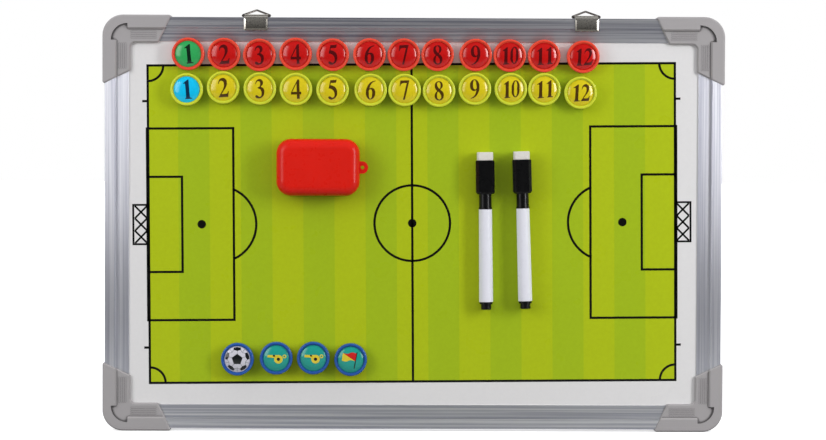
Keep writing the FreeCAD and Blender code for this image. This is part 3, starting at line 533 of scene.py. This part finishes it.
def makeCase():
    front, foot = -magnet["height"] * mm, -magnet["foot"] * mm
    case = roundBlank("case_master", magnet["radius"], magnet["foot"])
    case.data.materials.append(caseRed)
    case.data.materials.append(ferrite)
    pickFaces(case, lambda face: True)
    push(0, (magnet["foot"] - magnet["height"]) * mm, 0)
    bpy.ops.mesh.inset(thickness=magnet["rim"] * mm)
    push(0, magnet["ledgeDepth"] * mm, 0)
    bpy.ops.mesh.inset(thickness=magnet["ledge"] * mm)
    push(0, (magnet["recess"] - magnet["ledgeDepth"]) * mm, 0)
    bpy.ops.object.mode_set(mode="OBJECT")
    outward(case)

    def onRing(level, radius):
        def wanted(first, second):
            for point in (first, second):
                if abs(point.y - level) > 1e-5 or abs(math.hypot(point.x, point.z) - radius * mm) > 1e-4:
                    return False
            return True
        return wanted

    rounded = (magnet["radius"], magnet["edge"]), (magnet["radius"] - magnet["rim"], magnet["innerEdge"])
    for radius, width in rounded:
        pickEdges(case, onRing(front, radius))
        bpy.ops.mesh.bevel(offset=width * mm, segments=6, affect="EDGES")
        bpy.ops.object.mode_set(mode="OBJECT")
    pickEdges(case, onRing(foot, magnet["radius"]))
    bpy.ops.mesh.bevel(offset=magnet["footEdge"] * mm, segments=3, affect="EDGES")
    bpy.ops.object.mode_set(mode="OBJECT")
    # the ferrite disc stands a little out of the foot, with a tapered edge
    pickFaces(case, lambda face: face.normal.y > 0.99 and abs(face.center.y - foot) < 1e-5)
    bpy.ops.mesh.inset(thickness=(magnet["radius"] - magnet["footEdge"] - magnet["discRadius"]) * mm)
    push(0, -foot / 2, 0)
    push(0, -foot / 2, 0)
    bpy.ops.transform.resize(value=(magnet["discTaper"], 1, magnet["discTaper"]))
    bpy.ops.mesh.select_more()
    bpy.ops.mesh.select_more()
    case.active_material_index = 1
    bpy.ops.object.material_slot_assign()
    bpy.ops.object.mode_set(mode="OBJECT")
    smooth(case, 40)
    return case


def makeDome():                      # rings of faces, flat in the middle and steep at the rim
    radius, rings = magnet["domeRadius"], magnet["domeRings"]
    dome = roundBlank("dome_master", radius, magnet["height"] - magnet["recess"])
    pickFaces(dome, lambda face: True)
    push(0, -magnet["domeSide"] * mm, 0)

    def profile(ring):               # (distance from the middle, height) of one ring
        share = math.cos(math.radians(magnet["domeSweep"] * ring / rings))
        return share * radius, magnet["domeRise"] * (1 - share ** magnet["domePower"])

    for ring in range(rings):
        (outer, low), (inner, high) = profile(ring), profile(ring + 1)
        bpy.ops.mesh.inset(thickness=(outer - inner) * mm)
        bpy.ops.transform.translate(value=(0, (low - high) * mm, 0))
    bpy.ops.mesh.poke()
    bpy.ops.object.mode_set(mode="OBJECT")
    outward(dome)
    smooth(dome, 50)
    return dome


# Numerals on a grid one unit high. A third figure marks a sharp corner.

digitShapes = {
    "0": [[(.30, 1), (.51, .87), (.59, .5), (.51, .13), (.30, 0), (.09, .13), (.01, .5), (.09, .87)],
          [(.30, .95), (.38, .86), (.41, .5), (.38, .14), (.30, .05), (.22, .14), (.19, .5), (.22, .86)]],
    "1": [[(.18, 0, 1), (.18, .045, 1), (.225, .07), (.24, .15), (.245, .70), (.235, .79), (.195, .81),
           (.125, .785, 1), (.115, .825, 1), (.405, 1, 1), (.475, 1, 1), (.48, .15), (.495, .07),
           (.60, .045, 1), (.60, 0, 1)]],
    "2": [[(.02, .70, 1), (.09, .90), (.30, 1), (.50, .92), (.565, .74), (.50, .53), (.33, .32),
           (.19, .165, 1), (.44, .165), (.54, .19), (.60, .29, 1), (.645, .29, 1), (.58, 0, 1), (0, 0, 1),
           (0, .035, 1), (.20, .27), (.33, .47), (.375, .66), (.33, .80), (.22, .85), (.11, .81),
           (.06, .70, 1)]],
    "3": [[(.03, .74, 1), (.12, .92), (.29, 1), (.46, .94), (.52, .80), (.47, .67), (.37, .60, 1),
           (.52, .51), (.58, .34), (.51, .13), (.34, .015), (.17, 0), (.03, .05), (.01, .11), (.07, .165),
           (.16, .14), (.24, .08), (.34, .10), (.40, .24), (.37, .40), (.27, .49), (.17, .52, 1),
           (.17, .555, 1), (.29, .61), (.345, .74), (.30, .86), (.21, .88), (.12, .83), (.07, .73, 1)]],
    "4": [[(.53, 1, 1), (.53, .36, 1), (.63, .36, 1), (.63, .225, 1), (.53, .225, 1), (.53, 0, 1),
           (.355, 0, 1), (.355, .225, 1), (0, .225, 1), (0, .34, 1), (.42, 1, 1)],
          [(.355, .36, 1), (.355, .80, 1), (.07, .36, 1)]],
    "5": [[(.20, 1, 1), (.56, 1, 1), (.60, 1.03, 1), (.54, .85, 1), (.22, .85, 1), (.185, .745, 1),
           (.37, .69), (.53, .55), (.575, .36), (.50, .14), (.32, .015), (.14, 0), (.02, .06), (.01, .12),
           (.07, .17), (.16, .14), (.25, .085), (.35, .12), (.405, .26), (.355, .43), (.22, .54),
           (.06, .575, 1)]],
    "6": [[(.585, 1, 1), (.34, .93), (.12, .72), (.02, .40), (.09, .12), (.31, 0), (.53, .12), (.60, .335),
           (.53, .54), (.38, .61), (.27, .59), (.225, .57, 1), (.28, .74), (.40, .88), (.585, .968, 1)],
          [(.305, .53), (.385, .46), (.41, .28), (.375, .10), (.31, .045), (.235, .12), (.205, .30),
           (.215, .49)]],
    "7": [[(.05, 1, 1), (.60, 1, 1), (.60, .965, 1), (.295, 0, 1), (.18, 0, 1), (.44, .85, 1), (.20, .85),
           (.09, .80), (.035, .70, 1), (0, .70, 1)]],
    "8": [[(.30, 1), (.47, .95), (.54, .79), (.49, .65), (.40, .57), (.53, .44), (.58, .27), (.51, .08),
           (.30, 0), (.09, .07), (.02, .24), (.08, .40), (.18, .49, 1), (.08, .60), (.04, .76), (.11, .93)],
          [(.30, .95), (.375, .90), (.40, .78), (.38, .67), (.34, .615), (.24, .70), (.19, .82),
           (.22, .92)],
          [(.23, .45), (.35, .36), (.42, .22), (.39, .09), (.30, .05), (.20, .11), (.17, .25), (.19, .38)]],
}

numeral = {
    "middle": (0.3, 0.5), "sixWidth": 0.605,
    "height": 13.9, "width": 0.84, "pairHeight": 12.2, "pairStep": 6.7, "pairWidth": 0.82, "pairSlant": 0.1,
    "turns": (5, 4, 3, 2, 4, -3, 2, 2, 3, 5, 5, 3),
}
digitShapes["9"] = [[(numeral["sixWidth"] - x, 1 - z, *corner) for x, z, *corner in loop]
                    for loop in digitShapes["6"]]


def stepped(loop, longest=1.0):      # puts spots along the straight sides, so that they can bend
    spots = []
    for spot, after in zip(loop, loop[1:] + loop[:1]):
        spots.append(spot)
        if len(spot) > 2 and len(after) > 2:
            dx, dz = after[0] - spot[0], after[1] - spot[1]
            count = int(math.hypot(dx, dz) / longest)
            for n in range(1, count + 1):
                share = n / (count + 1)
                spots.append((spot[0] + dx * share, spot[1] + dz * share, 1))
    return spots


def flatShape(name, loops):          # loops of (x, z) or (x, z, corner) in millimetres, filled
    clearPick()
    drawing = bpy.data.curves.new(name, "CURVE")
    drawing.dimensions = "2D"
    drawing.fill_mode = "BOTH"
    drawing.resolution_u = 6
    for loop in loops:
        loop = stepped(loop)
        spline = drawing.splines.new("BEZIER")
        spline.bezier_points.add(len(loop) - 1)
        spline.use_cyclic_u = True
        for point, spot in zip(spline.bezier_points, loop):
            point.co = (spot[0] * mm, spot[1] * mm, 0)
        for point, spot in zip(spline.bezier_points, loop):
            kind = "VECTOR" if len(spot) > 2 else "AUTO"
            point.handle_left_type = point.handle_right_type = kind
    piece = bpy.data.objects.new(name, drawing)
    bpy.context.scene.collection.objects.link(piece)
    pickPiece(piece)
    piece.rotation_euler = faceFront
    bpy.ops.object.convert(target="MESH")
    settle()
    return named(name)


def wrapOn(piece, dome, layer=0):    # bends a flat shape over the dome and gives it the depth of ink
    pickFaces(piece, lambda face: True)
    bpy.ops.mesh.quads_convert_to_tris()
    bpy.ops.mesh.beautify_fill()
    bpy.ops.mesh.subdivide(number_cuts=3)
    bpy.ops.object.mode_set(mode="OBJECT")
    piece.data.transform(Matrix.Translation((0, -magnet["inkAhead"] * mm, 0)))
    finishWith(piece, "SHRINKWRAP", target=dome, wrap_method="PROJECT", use_project_y=True,
               use_positive_direction=True, use_negative_direction=True)
    finishWith(piece, "SOLIDIFY", thickness=magnet["ink"] * mm, offset=1.0)
    piece.data.transform(Matrix.Translation((0, -magnet["inkStep"] * layer * mm, 0)))
    outward(piece)
    smooth(piece, 60)
    return piece


def numberShape(number):
    text = str(number)
    pair = len(text) > 1
    height = numeral["pairHeight"] if pair else numeral["height"]
    wide = height * (numeral["pairWidth"] if pair else numeral["width"])
    slant = numeral["pairSlant"] if pair else 0.0
    turn = math.radians(numeral["turns"][number - 1])
    cos, sin = math.cos(turn), math.sin(turn)
    loops = []
    for place, digit in enumerate(text):
        middle = (place - 0.5) * numeral["pairStep"] if pair else 0.0
        for loop in digitShapes[digit]:
            spots = []
            for spot in loop:
                z = (spot[1] - numeral["middle"][1]) * height
                x = (spot[0] - numeral["middle"][0]) * wide + middle + slant * z
                spots.append((x * cos - z * sin, x * sin + z * cos, *spot[2:]))
            loops.append(spots)
    return flatShape(f"number_{number}", loops)


def polar(radius, degrees):
    return (radius * math.cos(math.radians(degrees)), radius * math.sin(math.radians(degrees)))


def roundLoop(middle, radius, points):
    around = [polar(radius, 360 / points * n) for n in range(points)]
    return [(middle[0] + x, middle[1] + z) for x, z in around]


def bar(first, second, width):       # a straight stroke between two points
    (x1, z1), (x2, z2) = first, second
    length = math.hypot(x2 - x1, z2 - z1)
    dx, dz = (z1 - z2) / length * width / 2, (x2 - x1) / length * width / 2
    return [(x1 + dx, z1 + dz, 1), (x2 + dx, z2 + dz, 1), (x2 - dx, z2 - dz, 1), (x1 - dx, z1 - dz, 1)]


# The pictures, as (label, loops, ink), in millimetres and degrees from the middle of the dome.

ball = {
    "pentagon": 4.1, "fork": 6.2, "seam": 0.28,
    "outerPatch": ((6.2, 0), (7.3, -21), (8.75, -17), (8.85, 0), (8.75, 17), (7.3, 21)),
}


def ballPrint():
    patches = [[(*polar(ball["pentagon"], 90 + 72 * n), 1) for n in range(5)]]
    seams = []
    for n in range(5):
        around = 90 + 72 * n
        patches.append([(*polar(radius, around + turn), 1) for radius, turn in ball["outerPatch"]])
        fork = polar(ball["fork"], around + 36)
        for first, second in ((polar(4.0, around), polar(6.3, around)), (polar(7.2, around + 20.5), fork),
                              (polar(7.2, around + 51.5), fork), (fork, polar(8.8, around + 36))):
            seams.append(bar(first, second, ball["seam"]))
    return [("patches", patches, inkDark), ("seams", seams, inkSeam)]


def whistlePrint():
    chamber, eyelet = (1.7, -0.6), (6.0, 1.4)
    barrel, hole = roundLoop(chamber, 3.1, 12), roundLoop(chamber, 1.2, 8)
    cord = [roundLoop(eyelet, 1.35, 8), roundLoop(eyelet, 0.7, 8)]
    stem = [(2.2, 2.45, 1), (-6.1, 2.45, 1), (-6.4, 0.7, 1), (-1.3, 0.5, 1), (0.4, 0.2, 1)]
    slit = [(-2.4, 2.5, 1), (-1.0, 2.5, 1), (-0.6, 1.3, 1), (-2.0, 1.3, 1)]
    return [("body", [barrel], inkSun), ("stem", [stem], inkSun), ("cord", cord, inkSun),
            ("slit", [slit, hole], inkDark)]


def flagPrint():
    pole = bar((4.6, 5.4), (2.6, -6.4), 0.7)
    upper = [(4.3, 4.6, 1), (1.0, 5.4), (-2.2, 4.4), (-5.6, 4.9, 1)]
    lower = [(3.3, -0.9, 1), (0.1, -0.2), (-3.1, -1.2), (-6.4, -0.6, 1)]
    return [("pole", [pole], inkDark), ("red_half", [upper + [lower[0]]], inkFlame),
            ("gold_half", [[upper[3], *reversed(lower)]], inkSun)]


caseMaster = makeCase()
domeMaster = makeDome()


def placeOf(node):                   # where a magnet's foot stands, from the solid it stands for
    low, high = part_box(node)
    middle = (low + high) / 2
    if not node.startswith("red"):
        return Matrix.Translation((middle.x, sheetFront, middle.z))
    lean = Matrix.Rotation(math.radians(magnet["lean"]), 4, "X")
    return Matrix.Translation((middle.x, sheetFront - magnet["leanLift"] * mm, middle.z)) @ lean


def setMagnet(node, caseFinish, domeFinish, prints):
    place = placeOf(node)
    case = copyOf(caseMaster, node + "_case", place)
    case.material_slots[0].material = caseFinish
    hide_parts(node)
    dome = copyOf(domeMaster, node + "_dome", place)
    dome.data.materials.clear()
    dome.data.materials.append(domeFinish)
    pieces = [case, dome]
    for label, master, finish in prints:
        sign = copyOf(master, f"{node}_{label}", place)
        sign.data.materials.clear()
        sign.data.materials.append(finish)
        pieces.append(sign)
    for piece in pieces:
        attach(piece, node)


for number in range(1, 13):
    shape = wrapOn(numberShape(number), domeMaster)
    redDome, goldDome = (domeGreen, domeSky) if number == 1 else (domeRed, domeGold)
    redInk, goldInk = (inkOnGreen, inkOnSky) if number == 1 else (inkOnRed, inkOnGold)
    redRow = ("red", caseRed, redDome, redInk)
    yellowRow = ("yellow", caseYellow, goldDome, goldInk)
    for team, caseFinish, domeFinish, inkFinish in (redRow, yellowRow):
        setMagnet(f"{team}_magnet_{number:02d}", caseFinish, domeFinish,
                  [("number", shape, inkFinish)])
    putAway(shape)
print("players set out")

for node, drawing, domeFinish in (("ball_magnet", ballPrint(), domeWhite),
                                  ("referee_magnet_left", whistlePrint(), domeTeal),
                                  ("referee_magnet_right", whistlePrint(), domeTeal),
                                  ("flag_magnet", flagPrint(), domeTeal)):
    prints = []
    for layer, (label, loops, finish) in enumerate(drawing):
        if label == "seams":         # bars that cross are filled one by one
            shape = joinUp([flatShape(label, [loop]) for loop in loops], label)
        else:
            shape = flatShape(label, loops)
        wrapOn(shape, domeMaster, layer)
        prints.append((label, shape, finish))
    setMagnet(node, caseBlue, domeFinish, prints)
    putAway(*[shape for label, shape, finish in prints])
putAway(caseMaster, domeMaster)
print("ball and officials set out")


# Felt: the eraser's pad and the wiping tips on the marker caps.

felt = {"edge": 0.5, "edgeAngle": 50, "tuft": 1.2}
eraserPad = {"corner": 7.9, "fuzz": 0.25, "voxel": 0.5, "stem": 0.0}
tipPad = {"size": (11.6, 10.6, 6.1), "corner": 1.6, "fuzz": 0.16, "voxel": 0.35, "stem": 4.0, "inset": 1.0,
          "tilt": {"left": 0.7, "right": 1.75}}


def feltBlock(name, low, high, cut, axis):   # a cut block, rounded about one axis, on a stem if it has one
    clearPick()
    middle = (low + high) / 2
    bpy.ops.mesh.primitive_cube_add(size=1, location=middle)
    piece = named(name)
    piece.scale = high - low
    settle()

    def standing(first, second):
        along = (second - first).normalized()
        return abs(along[axis]) > 0.99

    pickEdges(piece, standing)
    bpy.ops.mesh.bevel(offset=cut["corner"] * mm, segments=8, affect="EDGES")
    bpy.ops.object.mode_set(mode="OBJECT")
    if cut["stem"]:
        pickFaces(piece, lambda face: face.normal.z < -0.9)
        bpy.ops.mesh.inset(thickness=cut["inset"] * mm)
        push(0, 0, -cut["stem"] * mm)
        bpy.ops.object.mode_set(mode="OBJECT")
    finishWith(piece, "BEVEL", width=felt["edge"] * mm, segments=2, limit_method="ANGLE",
               angle_limit=math.radians(felt["edgeAngle"]))
    finishWith(piece, "REMESH", mode="VOXEL", voxel_size=cut["voxel"] * mm)
    texture = bpy.data.textures.new(name + "_fuzz", "CLOUDS")
    texture.noise_scale = felt["tuft"] * mm
    finishWith(piece, "DISPLACE", texture=texture, texture_coords="LOCAL", strength=cut["fuzz"] * mm,
               mid_level=1.0)
    smooth(piece, 180)
    return piece


low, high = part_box("eraser_felt")
pad = feltBlock("eraser_felt_pad", low, high, eraserPad, 1)
pad.data.materials.clear()
pad.data.materials.append(feltGrey)
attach(pad, "eraser")
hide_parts("eraser_felt")

for side in ("left", "right"):
    node = f"marker_{side}_cap_felt"
    turn = Matrix.Rotation(-math.radians(tipPad["tilt"][side]), 4, "Y")
    low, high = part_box(node)
    middle = (low + high) / 2
    half = Vector(tipPad["size"]) * mm / 2
    raised = Vector((0, 0, tipPad["stem"] * mm / 2))
    tip = feltBlock(node + "_tip", raised - half, raised + half, tipPad, 2)
    tip.data.transform(Matrix.Translation(middle) @ turn)
    tip.data.materials.clear()
    tip.data.materials.append(feltWhite)
    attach(tip, f"marker_{side}_cap_set")
    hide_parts(node)
print("felt cut")


# Studio: a pale floor, two soft boxes and a long lens in front.

studio = {
    "distance": 1.7, "frameWidth": 0.5981, "sensor": 36.0,
    "aim": (-0.0004, 0.0029), "around": -0.6, "above": 1.6, "roll": 0.215,
    "lamps": {
        "leftBox": {
            "place": (-0.69, -0.654, 0.265), "size": (0.56, 0.64), "power": 5.0, "innerFade": (1.0, 0.4)},
        "rightBox": {
            "place": (0.894, -0.674, 0.275), "size": (0.30, 0.66), "power": 9.0, "innerFade": (0.0, 0.5)},
    },
    "lowGlow": 0.9, "air": (0.96, 0.98, 1.0, 1),
    "fill": (0.15, 0.80), "fillFade": (-0.6, 0.6), "mirrored": (0.12, 1.0), "mirroredFade": (-0.35, 0.9),
    "floorSize": 30, "floorDrop": 0.0002, "floorGlow": (0.6, 1.0), "floorGlowReach": (0.3, 1.2),
    "floorTone": 0.16, "floorSeen": 0.86, "floorMirrored": (0.1, 0.62), "floorMirroredFade": (-0.7, -0.3),
}
bpy.context.scene.view_settings.view_transform = "Standard"
clearPick()
bpy.ops.mesh.primitive_plane_add(
    size=studio["floorSize"], location=(0, 0, cadBox[0][2] - studio["floorDrop"]))
floor = named("studio_floor")
floorFinish = Finish("floor_pale", Roughness=0.9, Specular_IOR_Level=0.1, Emission_Color=(1, 1, 1, 1))
ways = floorFinish.node("ShaderNodeLightPath").outputs
seen = ways["Is Camera Ray"]
reach = floorFinish.node("ShaderNodeVectorMath", {0: floorFinish.place}, operation="LENGTH").outputs["Value"]
depth = floorFinish.node("ShaderNodeSeparateXYZ", {0: floorFinish.place}).outputs["Y"]
far, near = [level - studio["floorTone"] for level in studio["floorMirrored"]]
mirroredShare = floorFinish.spread(depth, far, near, *studio["floorMirroredFade"])
mirroredTone = floorFinish.node("ShaderNodeMath", {      # dim only well in front of the board
    0: ways["Is Glossy Ray"], 1: mirroredShare, 2: studio["floorTone"],
}, operation="MULTIPLY_ADD").outputs[0]
floorFinish.feed("Base Color", floorFinish.node("ShaderNodeMath", {
    0: seen, 1: studio["floorSeen"] - studio["floorTone"], 2: mirroredTone,
}, operation="MULTIPLY_ADD").outputs[0])
glow = floorFinish.spread(reach, *studio["floorGlow"], *studio["floorGlowReach"])
floorFinish.feed("Emission Strength", floorFinish.node(
    "ShaderNodeMath", {0: seen, 1: glow}, operation="MULTIPLY").outputs[0])
floor.data.materials.append(floorFinish.material)

world = bpy.data.worlds.new("studio_world")
bpy.context.scene.world = world
world.use_nodes = True
sky = world.node_tree
sky.nodes.clear()
rays = sky.nodes.new("ShaderNodeLightPath").outputs


def backgroundOf(colour, strength):
    made = sky.nodes.new("ShaderNodeBackground")
    made.inputs["Color"].default_value = colour
    made.inputs["Strength"].default_value = strength
    return made


def graded(axis, start, stop, low, high):    # a strength that changes with the direction
    made = sky.nodes.new("ShaderNodeMapRange")
    for socket, setting in (("From Min", start), ("From Max", stop), ("To Min", low), ("To Max", high)):
        made.inputs[socket].default_value = setting
    sky.links.new(parts.outputs[axis], made.inputs["Value"])
    background = backgroundOf(studio["air"], 1.0)
    sky.links.new(made.outputs[0], background.inputs["Strength"])
    return background


def mixBy(share, first, second):
    made = sky.nodes.new("ShaderNodeMixShader")
    for socket, source in enumerate((share, first.outputs[0], second.outputs[0])):
        sky.links.new(source, made.inputs[socket])
    return made


parts = sky.nodes.new("ShaderNodeSeparateXYZ")
sky.links.new(sky.nodes.new("ShaderNodeTexCoord").outputs["Generated"], parts.inputs[0])
mirrored = graded("Y", *studio["mirroredFade"], *studio["mirrored"])      # white behind the board only
fillLight = graded("Z", *studio["fillFade"], *studio["fill"])
backdrop = backgroundOf((1, 1, 1, 1), 1.0)
unseen = mixBy(rays["Is Glossy Ray"], fillLight, mirrored)
unseen = mixBy(rays["Is Transmission Ray"], unseen, backdrop)
out = sky.nodes.new("ShaderNodeOutputWorld")
sky.links.new(mixBy(rays["Is Camera Ray"], unseen, backdrop).outputs[0], out.inputs[0])

for lampName, box in studio["lamps"].items():
    clearPick()
    bpy.ops.object.light_add(type="AREA", location=box["place"])
    lamp = named(lampName)
    lamp.data.shape = "RECTANGLE"
    lamp.data.size, lamp.data.size_y = box["size"]
    lamp.data.energy = box["power"]
    lamp.rotation_euler = (-Vector(box["place"])).to_track_quat("-Z", "Y").to_euler()
    # the box glows less towards its lower edge and fades out at its inner side
    lamp.data.use_nodes = True
    lampTree = lamp.data.node_tree
    spot = lampTree.nodes.new("ShaderNodeSeparateXYZ")
    lampTree.links.new(lampTree.nodes.new("ShaderNodeNewGeometry").outputs["Parametric"], spot.inputs[0])
    both = lampTree.nodes.new("ShaderNodeMath")
    both.operation = "MULTIPLY"
    fades = ("X", *box["innerFade"], 0.0), ("Y", 0.0, 1.0, studio["lowGlow"])
    for socket, (axis, start, stop, low) in enumerate(fades):
        fade = lampTree.nodes.new("ShaderNodeMapRange")
        fade.interpolation_type = "SMOOTHSTEP"
        for limit, setting in (("From Min", start), ("From Max", stop), ("To Min", low)):
            fade.inputs[limit].default_value = setting
        lampTree.links.new(spot.outputs[axis], fade.inputs["Value"])
        lampTree.links.new(fade.outputs[0], both.inputs[socket])
    lampTree.links.new(both.outputs[0], lampTree.nodes["Emission"].inputs["Strength"])

clearPick()
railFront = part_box("rail_top")[0].y
target = Vector((studio["aim"][0], railFront, studio["aim"][1]))
around, above = math.radians(studio["around"]), math.radians(studio["above"])
back = Vector((math.sin(around) * math.cos(above), -math.cos(around) * math.cos(above), math.sin(above)))
turn = (-back).to_track_quat("-Z", "Y").to_matrix() @ Matrix.Rotation(math.radians(studio["roll"]), 3, "Z")
bpy.ops.object.camera_add(location=target + back * studio["distance"], rotation=turn.to_euler())
camera = named("front_camera")
camera.data.sensor_width = studio["sensor"]
camera.data.lens = camera.data.sensor_width * studio["distance"] / studio["frameWidth"]
bpy.context.scene.camera = camera
print("studio ready")
